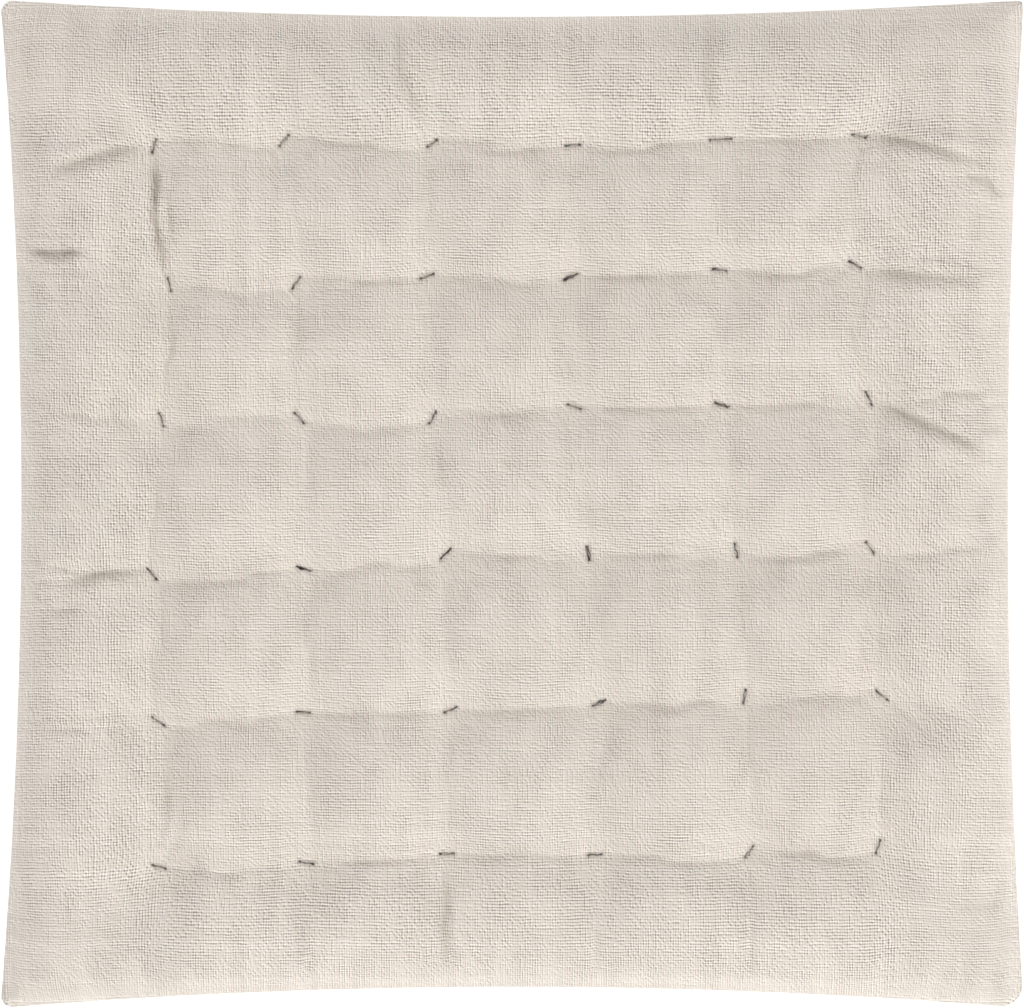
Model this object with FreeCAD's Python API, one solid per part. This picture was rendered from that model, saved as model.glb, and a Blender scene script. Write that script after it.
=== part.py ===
import FreeCAD, Part
import math
import os

# A square knife-edged chair seat pad: two woven panels sewn together and turned, three layers of
# wadding, and a grid of thread ties. Millimetres, +Z up, +X to the pad's right, +Y to its back.
# The origin is on the chair seat, under the middle of the pad.

# Overall size, corner to corner
WIDTH = 400.0
DEPTH = 394.0
SEAM_Z = 19.0
CROWN = 20.5

# How far the middle of each side bows in from the line between its corners
BOW_FRONT = 8.3
BOW_BACK = 6.6
BOW_LEFT = 8.2
BOW_RIGHT = 6.2

# Radius of each turned corner: back left, back right, front right, front left
CORNER_RADII = (4.0, 2.0, 8.0, 4.0)

# The edge: how high the turned rim stands over the seam, and how far in the pad reaches full height
RIM = 0.9
EDGE_REACH = 36.0
EDGE_POWER = 2.2

# Cloth, seam allowance and wadding
CLOTH = 0.8
RIM_WALL = 2.0
ALLOWANCE = 10.0
LAYER_GAP = 0.2
CORE_SHARE = 0.5
LAYER_INSET = 3.6
CORE_INSET = 11.5

# Threads
SEAM_THREAD_R = 0.2
SEAM_INSET = 2.8
TIE_R = 0.5
NEEDLE_HOLE_R = 0.75
KNOT_R = 1.1
KNOT_DROP = 0.45
TAIL_R = 0.4
TAIL_REACH = 5.5
TAIL_DROP = 4.5
TAIL_SPREADS = (50, 110)
TIE_BEND = 0.8
TIE_CLEARANCE = 0.2
STITCH_SAMPLES = 8

# The gap in the front seam that the pad was turned and filled through, and its closing stitches
GAP_START = -105.0
GAP_STITCHES = 24
GAP_PITCH = 5.5
CLOSING_THREAD_R = 0.2
CLOSING_BEND = 0.3
CLOSING_RISE = 0.45
CLOSING_BITE = 1.4

# Tuft rows, back to front: the height of each row's middle, and how much it rises to the right
ROW_Y = (140.8, 88.6, 36.0, -21.2, -79.1, -137.4)
ROW_RISE = (3.9, 8.3, 8.3, 10.2, 10.1, 7.8)

# Tuft columns, left to right: the place of each column's middle, and its lean to the right at the front
COLUMN_X = (-137.4, -82.8, -28.2, 28.0, 85.9, 138.9)
COLUMN_LEAN = (2.0, 8.6, 5.9, 8.6, 11.0, 7.4)

# How far each tuft strays from its row and column, because the places are marked and tied by hand
STRAY_X = (
    (-1.0, -1.5, 0.0, 0.0, 1.0, 0.0),
    (4.5, 1.5, -3.0, -2.5, -1.5, -3.0),
    (1.0, 1.0, -2.0, -2.5, -3.0, 1.0),
    (-3.0, 1.0, 2.0, 1.0, 0.5, 0.0),
    (-1.0, -1.0, 2.5, 3.5, 1.5, 3.0),
    (-1.0, -1.5, 0.0, 0.0, 1.0, 0.0),
)
STRAY_Y = (
    (0.5, 2.0, 0.0, -1.5, 0.0, 0.5),
    (1.0, 0.0, 1.0, -1.0, 0.0, 0.5),
    (1.0, 0.0, -1.5, 1.0, 0.0, 1.0),
    (-1.0, -1.0, 3.0, 1.0, 0.0, -1.0),
    (-0.5, 1.0, 0.0, 0.5, 1.0, -0.5),
    (0.0, 0.0, 2.0, 0.0, -0.5, 0.0),
)

# The turn of each tie's stitch from +X, in degrees, and its length. They are tied by hand, so each differs.
STITCH_TURN = (
    (70, 50, 35, 5, 3, -15),
    (-75, 58, 20, 25, -10, -30),
    (-70, -50, 60, -20, -20, -65),
    (-50, -20, 45, 100, -80, -55),
    (-35, -5, 25, 25, 80, -40),
    (-15, -10, 3, 5, 55, 70),
)
STITCH_LENGTH = 5.8
LONG_STITCH = 8.8
LONG_STITCH_AT = (0, 4)
SHORT_STITCH = 5.0
SHORT_STITCH_AT = (0, 2)

# How far each feature pulls the cloth down, as a share of the full height, and how wide it is
TUFT_PULL = 0.52
TUFT_WIDTH = 15.0
TUFT_POWER = 1.6
ROW_PULL = 0.24
COLUMN_PULL = 0.15
BORDER_PULL = 0.10
VALLEY_WIDTH = 11.0

GRID_STEP = 7.0
GRID_MARGIN = 7.0


def vector(x, y, z):
    return FreeCAD.Vector(x, y, z)


def tuft_places():
    """The middle, direction and length of every tie, keyed by (row, column) from the back left."""
    places = {}
    row_span = COLUMN_X[-1] - COLUMN_X[0]
    column_span = ROW_Y[0] - ROW_Y[-1]
    for row, row_y in enumerate(ROW_Y):
        for column, column_x in enumerate(COLUMN_X):
            x = column_x - COLUMN_LEAN[column] * row_y / column_span + STRAY_X[row][column]
            y = row_y + ROW_RISE[row] * column_x / row_span + STRAY_Y[row][column]
            turn = math.radians(STITCH_TURN[row][column])
            length = STITCH_LENGTH
            if (row, column) == LONG_STITCH_AT:
                length = LONG_STITCH
            if (row, column) == SHORT_STITCH_AT:
                length = SHORT_STITCH
            places[(row, column)] = (x, y, turn, length)
    return places


def stitch_ends(place):
    x, y, turn, length = place
    reach_x = 0.5 * length * math.cos(turn)
    reach_y = 0.5 * length * math.sin(turn)
    return (x - reach_x, y - reach_y), (x + reach_x, y + reach_y)


def distance_to_segment(x, y, start, end):
    run_x = end[0] - start[0]
    run_y = end[1] - start[1]
    share = ((x - start[0]) * run_x + (y - start[1]) * run_y) / (run_x * run_x + run_y * run_y)
    share = min(1.0, max(0.0, share))
    return math.hypot(x - start[0] - share * run_x, y - start[1] - share * run_y)


def valley_lines(tufts):
    """Soft valleys between neighbouring tufts, and out from the border tufts to the seam."""
    lines = []
    for (row, column), place in tufts.items():
        here = place[:2]
        if (row, column + 1) in tufts:
            lines.append((here, tufts[(row, column + 1)][:2], ROW_PULL))
        if (row + 1, column) in tufts:
            lines.append((here, tufts[(row + 1, column)][:2], COLUMN_PULL))
        if row == 0:
            lines.append((here, (here[0], DEPTH / 2), BORDER_PULL))
        if row == len(ROW_Y) - 1:
            lines.append((here, (here[0], -DEPTH / 2), BORDER_PULL))
        if column == 0:
            lines.append((here, (-WIDTH / 2, here[1]), BORDER_PULL))
        if column == len(COLUMN_X) - 1:
            lines.append((here, (WIDTH / 2, here[1]), BORDER_PULL))
    return lines


def edge_rise(distance):
    """The share of the full height at a distance in from a side; straight on outside it."""
    if distance < 0.0:
        return EDGE_POWER * distance / EDGE_REACH
    left = 1.0 - min(distance / EDGE_REACH, 1.0)
    return 1.0 - left ** EDGE_POWER


def sides_rise(x, y):
    """How far the four bowed sides let the cloth rise at a place."""
    across = 1.0 - (x / (WIDTH / 2)) ** 2
    along = 1.0 - (y / (DEPTH / 2)) ** 2
    distances = (
        DEPTH / 2 - BOW_BACK * across - y,
        DEPTH / 2 - BOW_FRONT * across + y,
        WIDTH / 2 - BOW_RIGHT * along - x,
        WIDTH / 2 - BOW_LEFT * along + x,
    )
    rises = sorted(edge_rise(distance) for distance in distances)
    if rises[0] < 0.0:
        return rises[0]
    return rises[0] * rises[1] * rises[2] * rises[3]


def cloth_height(x, y, tufts, lines):
    """The height of the outer cloth over the seam plane."""
    left = 1.0
    for place in tufts.values():
        gap = distance_to_segment(x, y, *stitch_ends(place))
        left *= 1.0 - TUFT_PULL * math.exp(-((gap / TUFT_WIDTH) ** TUFT_POWER))
    valley = 0.0
    for start, end, pull in lines:
        gap = distance_to_segment(x, y, start, end)
        valley = max(valley, pull * math.exp(-((gap / VALLEY_WIDTH) ** 2)))
    rise = sides_rise(x, y)
    if rise < 0.0:
        return RIM + (CROWN - RIM) * rise
    return RIM + (CROWN - RIM) * rise * left * (1.0 - valley)


class Cloth:
    """The pad's cloth as one height field; any layer of the pad is a share of it."""

    def __init__(self, tufts):
        lines = valley_lines(tufts)
        self.start_x = -WIDTH / 2 - GRID_MARGIN
        self.start_y = -DEPTH / 2 - GRID_MARGIN
        self.count_x = math.ceil((WIDTH + 2 * GRID_MARGIN) / GRID_STEP) + 1
        self.count_y = math.ceil((DEPTH + 2 * GRID_MARGIN) / GRID_STEP) + 1
        self.heights = []
        for i in range(self.count_x):
            x = self.start_x + i * GRID_STEP
            ys = [self.start_y + j * GRID_STEP for j in range(self.count_y)]
            self.heights.append([cloth_height(x, y, tufts, lines) for y in ys])

    def surface(self, share, shift, side):
        """The cloth's surface times a share plus a shift, over (side 1) or under (side -1) the seam."""
        levels = []
        for line in self.heights:
            levels.append([SEAM_Z + side * (share * height + shift) for height in line])
        surface = Part.BSplineSurface()
        surface.interpolate(levels, self.start_x, GRID_STEP, self.start_y, GRID_STEP)
        return surface

    def body(self, share, shift, side):
        """Everything between that surface and a plane far on the other side of the seam."""
        face = self.surface(share, shift, side).toShape()
        return face.extrude(vector(0, 0, -side * 4 * CROWN))


def outline_corners(inset):
    """The four corners of the outline and the middles of its sides, moved in by a distance."""
    lean = 2 * (BOW_FRONT + BOW_LEFT) / WIDTH
    move = inset * (1.0 + lean)
    right = WIDTH / 2 - move
    back = DEPTH / 2 - move
    corners = (
        vector(-right, back, 0),
        vector(right, back, 0),
        vector(right, -back, 0),
        vector(-right, -back, 0),
    )
    middles = (
        vector(0, DEPTH / 2 - BOW_BACK - inset, 0),
        vector(WIDTH / 2 - BOW_RIGHT - inset, 0, 0),
        vector(0, -DEPTH / 2 + BOW_FRONT + inset, 0),
        vector(-WIDTH / 2 + BOW_LEFT + inset, 0, 0),
    )
    return corners, middles


def outline_prism(inset, bottom, top):
    """An upright block with the pad's outline moved in by a distance, with rounded corners."""
    corners, middles = outline_corners(inset)
    sides = []
    for i, middle in enumerate(middles):
        sides.append(Part.Arc(corners[i], middle, corners[(i + 1) % 4]).toShape())
    face = Part.Face(Part.Wire(sides))
    prism = face.extrude(vector(0, 0, top - bottom))
    for corner, radius in zip(corners, CORNER_RADII):
        upright = min(prism.Edges, key=lambda edge: edge.CenterOfMass.distanceToPoint(
            vector(corner.x, corner.y, (top - bottom) / 2)))
        prism = prism.makeFillet(radius + inset, [upright])
    prism.translate(vector(0, 0, bottom))
    return prism


def needle_holes(tufts):
    """Two upright holes through everything for each tie."""
    holes = []
    for place in tufts.values():
        for x, y in stitch_ends(place):
            holes.append(Part.makeCylinder(NEEDLE_HOLE_R, 4 * CROWN, vector(x, y, -2 * CROWN)))
    return holes


def panel(cloth, holes, side):
    """A cover panel: a domed sheet with its seam allowance turned in flat on the seam plane."""
    reach = 3 * CROWN
    low, high = sorted((SEAM_Z, SEAM_Z + side * reach))
    shape = cloth.body(1.0, 0.0, side).common(outline_prism(0.0, low, high))
    low, high = sorted((SEAM_Z + side * CLOTH, SEAM_Z + side * reach))
    cavity = cloth.body(1.0, -CLOTH, side).common(outline_prism(RIM_WALL, low, high))
    if side < 0:
        shape = shape.common(seat_block(0.0))
        cavity = cavity.common(seat_block(CLOTH))
    opening = outline_prism(ALLOWANCE, SEAM_Z - 2 * CLOTH, SEAM_Z + 2 * CLOTH)
    return shape.cut(cavity).cut(opening).cut(holes)


def seat_block(bottom):
    """A block over the chair seat; it cuts the underside's pillows flat where they rest."""
    size = 2 * WIDTH
    return Part.makeBox(size, size, 4 * CROWN, vector(-size / 2, -size / 2, bottom))


def outer_wadding(cloth, holes, side):
    """A layer of wadding between a cover panel and the core."""
    reach = 3 * CROWN
    low, high = sorted((SEAM_Z, SEAM_Z + side * reach))
    shape = cloth.body(1.0, -CLOTH - LAYER_GAP, side).common(outline_prism(LAYER_INSET, low, high))
    if side < 0:
        shape = shape.common(seat_block(CLOTH + LAYER_GAP))
    return shape.cut(cloth.body(CORE_SHARE, LAYER_GAP / 2, side)).cut(holes)


def core_wadding(cloth, holes):
    """The middle layer, which ends inside the seam allowances."""
    block = outline_prism(CORE_INSET, SEAM_Z - CROWN, SEAM_Z + CROWN)
    upper = cloth.body(CORE_SHARE, -LAYER_GAP / 2, 1)
    lower = cloth.body(CORE_SHARE, -LAYER_GAP / 2, -1)
    return block.common(upper).common(lower).cut(holes)


def tube(wire, radius):
    """A round thread along an open path."""
    point = wire.OrderedVertexes[0].Point
    edge = wire.OrderedEdges[0]
    direction = edge.tangentAt(edge.Curve.parameter(point))
    ring = Part.Wire(Part.makeCircle(radius, point, direction))
    return wire.makePipeShell([ring], True, False)


def rounded_path(points, radius):
    """Straight runs between points, joined by tangent arcs of one radius."""
    edges = []
    start = points[0]
    for before, corner, after in zip(points, points[1:], points[2:]):
        back = (before - corner).normalize()
        ahead = (after - corner).normalize()
        half = back.getAngle(ahead) / 2
        reach = radius / math.tan(half)
        middle = corner + (back + ahead).normalize() * (radius / math.sin(half) - radius)
        edges.append(Part.makeLine(start, corner + back * reach))
        edges.append(Part.Arc(corner + back * reach, middle, corner + ahead * reach).toShape())
        start = corner + ahead * reach
    edges.append(Part.makeLine(start, points[-1]))
    return Part.Wire(edges)


def seam_thread(side):
    """One thread of the lockstitch seam, on the inside of a seam allowance, open at the turning gap."""
    height = SEAM_Z + side * (CLOTH + SEAM_THREAD_R)
    block = outline_prism(SEAM_INSET, height, height + CLOTH)
    outline = min(block.Faces, key=lambda face: face.CenterOfMass.z).OuterWire
    gap_corner = vector(GAP_START, -DEPTH / 2, 0)
    gap = Part.makeBox(GAP_STITCHES * GAP_PITCH, 2 * BOW_FRONT, 4 * CROWN, gap_corner)
    path = Part.Wire(Part.__sortEdges__(outline.cut(gap).Edges))
    return tube(path, SEAM_THREAD_R)


def front_edge_y(x):
    """Where the front seam's fold runs, as an arc through its two corners."""
    half = WIDTH / 2
    radius = (half * half + BOW_FRONT * BOW_FRONT) / (2 * BOW_FRONT)
    centre_y = -DEPTH / 2 + BOW_FRONT - radius
    return centre_y + math.sqrt(radius * radius - x * x)


def closing_stitches():
    """A slip stitch: it runs inside one panel's fold, crosses the gap and runs in the other's."""
    points = []
    side = 1
    for i in range(GAP_STITCHES + 1):
        x = GAP_START + i * GAP_PITCH
        outside = front_edge_y(x) - CLOSING_THREAD_R
        inside = front_edge_y(x) + CLOSING_BITE
        points.append(vector(x, inside, SEAM_Z + side * CLOSING_RISE))
        points.append(vector(x, outside, SEAM_Z + side * CLOSING_RISE))
        side = -side
        points.append(vector(x, outside, SEAM_Z + side * CLOSING_RISE))
        points.append(vector(x, inside, SEAM_Z + side * CLOSING_RISE))
    return tube(rounded_path(points, CLOSING_BEND), CLOSING_THREAD_R)


def cloth_under_stitch(surface, start, end):
    """The levels of the cloth at a few places along a stitch between two needle holes."""
    levels = []
    for step in range(STITCH_SAMPLES + 1):
        share = step / STITCH_SAMPLES
        x = start[0] + share * (end[0] - start[0])
        y = start[1] + share * (end[1] - start[1])
        levels.append(surface.value(x, y).z)
    return levels


def tuft_tie(place, top_z, bottom_z):
    """One tie: a loop of thread through two needle holes, knotted underneath, with two cut tails."""
    start, end = stitch_ends(place)
    x, y, turn, _ = place
    along = vector(math.cos(turn), math.sin(turn), 0) * (KNOT_R / 3)
    points = [
        vector(x, y, bottom_z) - along,
        vector(start[0], start[1], bottom_z),
        vector(start[0], start[1], top_z),
        vector(end[0], end[1], top_z),
        vector(end[0], end[1], bottom_z),
        vector(x, y, bottom_z) + along,
    ]
    loop = tube(rounded_path(points, TIE_BEND), TIE_R)
    knot_place = vector(x, y, bottom_z - KNOT_DROP)
    knot = Part.makeSphere(KNOT_R, knot_place)
    knot.rotate(knot_place, vector(0, 0, 1), math.degrees(turn) - 90)
    pieces = [knot]
    for spread in TAIL_SPREADS:
        angle = turn + math.radians(spread)
        run = vector(TAIL_REACH * math.cos(angle), TAIL_REACH * math.sin(angle), -TAIL_DROP)
        pieces.append(Part.makeCylinder(TAIL_R, run.Length, knot_place, run))
    return loop.fuse(pieces)


def write(name, shape):
    solid, = shape.Solids
    if not (solid.isValid() and solid.isClosed()):
        raise ValueError(name + " is not a whole solid")
    solid.exportStep(os.path.join("parts", name + ".step"))


def main():
    os.makedirs("parts", exist_ok=True)
    tufts = tuft_places()
    cloth = Cloth(tufts)
    holes = needle_holes(tufts)
    write("top_panel", panel(cloth, holes, 1))
    write("bottom_panel", panel(cloth, holes, -1))
    write("wadding_upper", outer_wadding(cloth, holes, 1))
    write("wadding_core", core_wadding(cloth, holes))
    write("wadding_lower", outer_wadding(cloth, holes, -1))
    write("seam_needle_thread", seam_thread(1))
    write("seam_bobbin_thread", seam_thread(-1))
    write("closing_stitches", closing_stitches())
    top_surface = cloth.surface(1.0, 0.0, 1)
    bottom_surface = cloth.surface(1.0, 0.0, -1)
    for (row, column), place in tufts.items():
        ends = stitch_ends(place)
        top_z = max(cloth_under_stitch(top_surface, *ends)) + TIE_R + TIE_CLEARANCE
        bottom_z = min(cloth_under_stitch(bottom_surface, *ends)) - TIE_R - TIE_CLEARANCE
        write(f"tuft_tie_r{row + 1}_c{column + 1}", tuft_tie(place, top_z, bottom_z))


main()
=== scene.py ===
import math

import bpy
import numpy as np
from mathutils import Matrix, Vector
from mathutils.bvhtree import BVHTree


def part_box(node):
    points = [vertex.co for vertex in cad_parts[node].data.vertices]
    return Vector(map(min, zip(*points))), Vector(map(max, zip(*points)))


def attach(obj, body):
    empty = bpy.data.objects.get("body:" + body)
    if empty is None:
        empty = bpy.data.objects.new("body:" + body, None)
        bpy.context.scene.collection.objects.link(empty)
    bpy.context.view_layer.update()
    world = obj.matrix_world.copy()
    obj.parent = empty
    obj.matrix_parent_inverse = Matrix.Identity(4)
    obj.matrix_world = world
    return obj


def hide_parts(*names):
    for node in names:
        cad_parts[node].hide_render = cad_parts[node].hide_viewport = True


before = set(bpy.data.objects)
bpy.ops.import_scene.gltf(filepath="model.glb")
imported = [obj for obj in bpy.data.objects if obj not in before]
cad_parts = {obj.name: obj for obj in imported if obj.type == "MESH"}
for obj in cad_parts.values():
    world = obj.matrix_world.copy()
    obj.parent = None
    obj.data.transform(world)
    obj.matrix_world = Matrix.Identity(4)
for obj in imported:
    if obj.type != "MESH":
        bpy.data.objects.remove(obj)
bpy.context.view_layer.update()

MM = 0.001

# The tuft grid, and how many mesh cells lie between two tufts. The cells crowd towards the tuft lines.
TUFTS = 6
CELLS = 14
CROWDING = 0.42

# The cover cloth, and the parts of the CAD's own edge and ties that its shape has to meet
CLOTH = 0.6 * MM
RIM = 0.9 * MM
EDGE_RISE = 0.75
EDGE_RUN = 8 * MM
TIE_WIDTH = 1.0 * MM
TIE_CLEARANCE = 0.2 * MM
WARP_PITCH = 0.97 * MM
WEFT_PITCH = 1.05 * MM

# How the fold at the seam rolls under and runs back inside as the allowance: each ring's inset and height, mm
FOLD_RINGS = ((0.12, 0.5), (0.4, 0.22), (0.8, 0.1), (3.0, 0.1), (6.0, 0.1), (9.0, 0.25))

# The cloth as cut, compared with its place on the pad: across the pillows, along the seam, and
# from the outer tufts to the seam, in the middle of a side and by a corner
SLACK_X = 1.02
SLACK_Y = 1.028
SLACK_SEAM = 1.005
SLACK_BORDER = 1.13
SLACK_CORNER = 1.045

# The weave is let ease towards the seam, where the cloth is steep: its fullness there as it is drawn
WEAVE_BORDER = 0.98

# The cloth simulation. It runs at ten times the real size, where the solver's own forces suit it.
GROWN = 10.0
PRESSURE = 17.0
BENDING = 1.0
TENSION = 60
COMPRESSION = 30
SHEAR = 10
AIR = 2.0
QUALITY = 6
RIPPLE = 0.3 * MM
SEWN_BY = 8
FRAMES = 30
PINNED = 1.3 * MM

# How softly the underside's pillows turn from round to flat where they meet the seat
REST_SOFTNESS = 0.35 * MM

# How many lines of the fine grid the wadding layers and the core stop short of the seam, and how much
# of the height over the seam the core takes
WADDING_MARGIN = 4
CORE_MARGIN = 8
CORE_SHARE = 0.5

# The room between the wadding and its neighbours, and how low each surface may come to the seam plane
WADDING_GAP = 0.35 * MM
WADDING_LEAST = 1.5 * MM
WADDING_INNER_LEAST = 1.3 * MM
WADDING_THINNEST = 0.15 * MM
CORE_GAP = 0.8 * MM
CORE_LEAST = 0.4 * MM

# Every surface that is shaped at random has its own fixed seed, for the top or upper piece first
CLOTH_SEEDS = (4, 9)
GATHER_SEEDS = (21, 22)
WADDING_SEEDS = (31, 32)
CORE_SEED = 33
TIE_SEED = 1000

# How far each row's valley hangs forwards, and the depth and width of the rows' and columns' creases
SAG = 1.0 * MM
ROW_CREASE = (0.8 * MM, 1.9 * MM)
COLUMN_CREASE = (0.6 * MM, 2.6 * MM)

# The gathers at the seam: the lengths of their waves, their height, and how far in they fade
GATHER_PITCHES = (8.0, 13.0, 21.0, 34.0)
GATHER_HEIGHT = 0.24 * MM
GATHER_START = 2.5 * MM
GATHER_FADE = 13 * MM


# ---------------------------------------------------------------- measures read from the frame

def tree_of(node):
    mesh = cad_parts[node].data
    mesh.calc_loop_triangles()
    points = [v.co for v in mesh.vertices]
    triangles = [t.vertices[:] for t in mesh.loop_triangles]
    return BVHTree.FromPolygons(points, triangles)


class Stitch:
    """Where one tie crosses the top of the pad, read from its CAD node."""

    def __init__(self, row, column):
        self.row = row
        self.column = column
        self.node = f"tuft_tie_r{row + 1}_c{column + 1}"
        points = np.array([v.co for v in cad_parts[self.node].data.vertices])
        top = points[points[:, 2] > points[:, 2].max() - 0.6 * TIE_WIDTH][:, :2]
        self.centre = (top.max(axis=0) + top.min(axis=0)) / 2
        spread = np.cov((top - self.centre).T)
        values, vectors = np.linalg.eigh(spread)
        self.along = vectors[:, np.argmax(values)]
        if self.along[1] < 0:
            self.along = -self.along
        self.half = np.abs((top - self.centre) @ self.along).max() - 0.6 * TIE_WIDTH
        self.level = points[:, 2].max() - TIE_WIDTH - TIE_CLEARANCE
        tails = points[points[:, 2] < points[:, 2].min() + TIE_WIDTH][:, :2]
        tail = tails.mean(axis=0) - self.centre
        self.tail_turn = math.atan2(tail[1], tail[0])

    def distance(self, x, y):
        dx = x - self.centre[0]
        dy = y - self.centre[1]
        along = np.clip(dx * self.along[0] + dy * self.along[1], -self.half, self.half)
        return np.hypot(dx - along * self.along[0], dy - along * self.along[1])


top_tree = tree_of("top_panel")
bottom_tree = tree_of("bottom_panel")
low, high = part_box("top_panel")
SEAM_Z = low.z
stitches = [[Stitch(row, column) for column in range(TUFTS)] for row in range(TUFTS)]


def edge_y(x, side):
    """Where the cover's back (side 1) or front (side -1) edge is, at a place across the pad."""
    hit = top_tree.ray_cast(Vector((x, side, SEAM_Z + RIM / 2)), Vector((0, -side, 0)))[0]
    return hit.y


def edge_x(y, side):
    hit = top_tree.ray_cast(Vector((side, y, SEAM_Z + RIM / 2)), Vector((-side, 0, 0)))[0]
    return hit.x


def corner(side_x, side_y):
    """The tip of a turned corner, met on the way in along its diagonal."""
    start = Vector((side_x * 2 * high.x, side_y * 2 * high.y, SEAM_Z + RIM / 2))
    aim = Vector((-side_x, -side_y * high.y / high.x, 0)).normalized()
    hit = top_tree.ray_cast(start, aim)[0]
    return np.array([hit.x, hit.y])


# ---------------------------------------------------------------- the grid that both panels share

def crowded(cells):
    """Shares from 0 to 1 that lie closer together near both ends."""
    t = np.linspace(0.0, 1.0, cells + 1)
    return t - CROWDING * np.sin(2 * math.pi * t) / (2 * math.pi)


def edge_line(start, end, place, axis):
    """Points along one outer edge between two lattice points; place(t) finds the edge itself."""
    shares = crowded(CELLS)
    points = []
    for share in shares:
        along = start[axis] + share * (end[axis] - start[axis])
        across = place(along)
        points.append([along, across] if axis == 0 else [across, along])
    points[0] = list(start)
    points[-1] = list(end)
    return np.array(points)


def lattice():
    """The tufts with the seam round them, as an 8 by 8 set of points from the back left."""
    size = TUFTS + 2
    points = np.zeros((size, size, 2))
    for row in stitches:
        for stitch in row:
            points[stitch.row + 1, stitch.column + 1] = stitch.centre
    for k in range(1, size - 1):
        back = points[1, k]
        front = points[size - 2, k]
        left = points[k, 1]
        right = points[k, size - 2]
        points[0, k] = (back[0], edge_y(back[0], 1))
        points[size - 1, k] = (front[0], edge_y(front[0], -1))
        points[k, 0] = (edge_x(left[1], -1), left[1])
        points[k, size - 1] = (edge_x(right[1], 1), right[1])
    points[0, 0] = corner(-1, 1)
    points[0, size - 1] = corner(1, 1)
    points[size - 1, 0] = corner(-1, -1)
    points[size - 1, size - 1] = corner(1, -1)
    return points


def straight(start, end):
    shares = crowded(CELLS)[:, None]
    return start + shares * (end - start)


def patch(corners, back, front, left, right):
    """A Coons patch between four boundary lines. Its first axis runs front-wards, its second to the right."""
    s = crowded(CELLS)[:, None, None]
    t = crowded(CELLS)[None, :, None]
    ruled_rows = (1 - s) * back[None, :, :] + s * front[None, :, :]
    ruled_columns = (1 - t) * left[:, None, :] + t * right[:, None, :]
    back_left, back_right, front_left, front_right = corners
    bilinear = (1 - s) * ((1 - t) * back_left + t * back_right) + s * ((1 - t) * front_left + t * front_right)
    return ruled_rows + ruled_columns - bilinear


def pad_grid():
    """The plan of the pad as a square grid whose lines run through the tufts and end on the seam."""
    points = lattice()
    count = (TUFTS + 1) * CELLS + 1
    plan = np.zeros((count, count, 2))
    last = TUFTS
    for r in range(TUFTS + 1):
        for c in range(TUFTS + 1):
            a, b = points[r, c], points[r, c + 1]
            d, e = points[r + 1, c], points[r + 1, c + 1]
            back = edge_line(a, b, lambda x: edge_y(x, 1), 0) if r == 0 else straight(a, b)
            front = edge_line(d, e, lambda x: edge_y(x, -1), 0) if r == last else straight(d, e)
            left = edge_line(a, d, lambda y: edge_x(y, -1), 1) if c == 0 else straight(a, d)
            right = edge_line(b, e, lambda y: edge_x(y, 1), 1) if c == last else straight(b, e)
            rows = slice(r * CELLS, (r + 1) * CELLS + 1)
            columns = slice(c * CELLS, (c + 1) * CELLS + 1)
            plan[rows, columns] = patch((a, b, d, e), back, front, left, right)
    return plan


def lattice_steps(plan):
    """Where each line of the grid lies, counted in lattice squares from the back left corner."""
    return np.arange(plan.shape[0]) / ((plan.shape[0] - 1) / (TUFTS + 1))


def flat_cloth(plan, corner_slack, border_slack):
    """The same grid laid out as the cloth was cut, with its fullness between the stitches."""
    lines = lattice_steps(plan)
    depth = np.clip(np.minimum(lines, TUFTS + 1 - lines), 0, 1)
    middles = (lines[:-1] + lines[1:]) / 2
    border = np.minimum(middles, TUFTS + 1 - middles) < 1
    outwards = corner_slack + (border_slack - corner_slack) * depth
    along_x = SLACK_SEAM + (SLACK_X - SLACK_SEAM) * depth
    along_y = SLACK_SEAM + (SLACK_Y - SLACK_SEAM) * depth
    stretch_x = np.where(border[None, :], outwards[:, None], along_x[:, None])
    stretch_y = np.where(border[:, None], outwards[None, :], along_y[None, :])
    steps_x = np.diff(plan[:, :, 0], axis=1) * stretch_x
    steps_y = np.diff(plan[:, :, 1], axis=0) * stretch_y
    u = np.concatenate([np.zeros((len(plan), 1)), np.cumsum(steps_x, axis=1)], axis=1)
    v = np.concatenate([np.zeros((1, len(plan))), np.cumsum(steps_y, axis=0)], axis=0)
    middle = len(plan) // 2
    u += plan[:, middle:middle + 1, 0] - u[:, middle:middle + 1]
    v += plan[middle:middle + 1, :, 1] - v[middle:middle + 1]
    return np.dstack([u, v])


def stitch_field(plan):
    """For every grid point, the distance to the nearest stitch."""
    x = plan[:, :, 0]
    y = plan[:, :, 1]
    return np.min([stitch.distance(x, y) for row in stitches for stitch in row], axis=0)


def cloth_level(x, y, tree, side):
    """How far the CAD's panel stands from the seam plane. Over a needle hole the ray meets nothing."""
    for shift in (0.0, 1.2, -1.2, 2.0):
        start = Vector((x + shift * MM, y + shift * MM, SEAM_Z + side))
        hit = tree.ray_cast(start, Vector((0, 0, -side)))[0]
        if hit is not None:
            level = side * (hit.z - SEAM_Z)
            if level > 1.5 * RIM:
                return level
    return RIM


def cad_heights(plan, side):
    """The CAD panel's height over the seam plane at every grid point, and each tuft's own level round it."""
    tree = top_tree if side > 0 else bottom_tree
    heights = np.array([[cloth_level(x, y, tree, side) for x, y in line] for line in plan])
    for row in stitches:
        for stitch in row:
            near = stitch.distance(plan[:, :, 0], plan[:, :, 1]) < PINNED
            heights[near] = stitch.level - SEAM_Z
    heights[[0, -1], :] = RIM
    heights[:, [0, -1]] = RIM
    return heights


# ---------------------------------------------------------------- the cloth

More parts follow.
